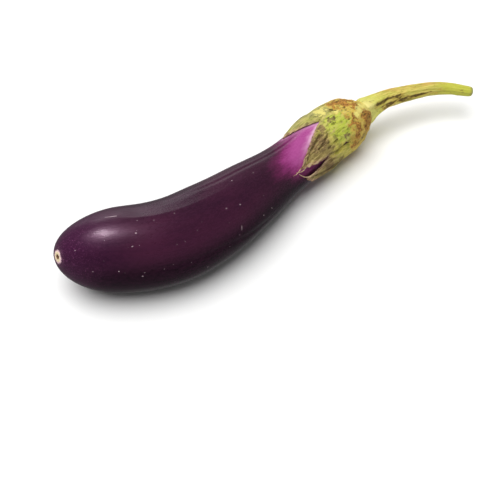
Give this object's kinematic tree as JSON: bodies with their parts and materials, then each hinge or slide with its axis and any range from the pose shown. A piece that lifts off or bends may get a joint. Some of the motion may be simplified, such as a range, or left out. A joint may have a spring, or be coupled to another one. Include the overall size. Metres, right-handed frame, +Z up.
{
  "type": "eggplant",
  "caption": "Long, gently curved eggplant lying on its side, with a lobed calyx over its shoulder and a curved stem.",
  "frame": {"origin": "centre of the bounding box in plan, on the surface that the eggplant lies on", "axes": "+Z up as it lies on its side, +X along its length from the blossom end to the stem, +Y to the left of +X"},
  "size_m": [0.2767, 0.0734, 0.0463],
  "materials": {
    "skin": "smooth, waxy, glossy dark purple skin, pink-violet next to the calyx",
    "calyx": "dry, matt, wrinkled green with brown corky patches",
    "stem": "matt yellow-green, ribbed along its length, brown streaks underneath"
  },
  "bodies": {
    "root": {"fruit": "skin", "calyx": "calyx", "stem": "stem"}
  },
  "joints": []
}
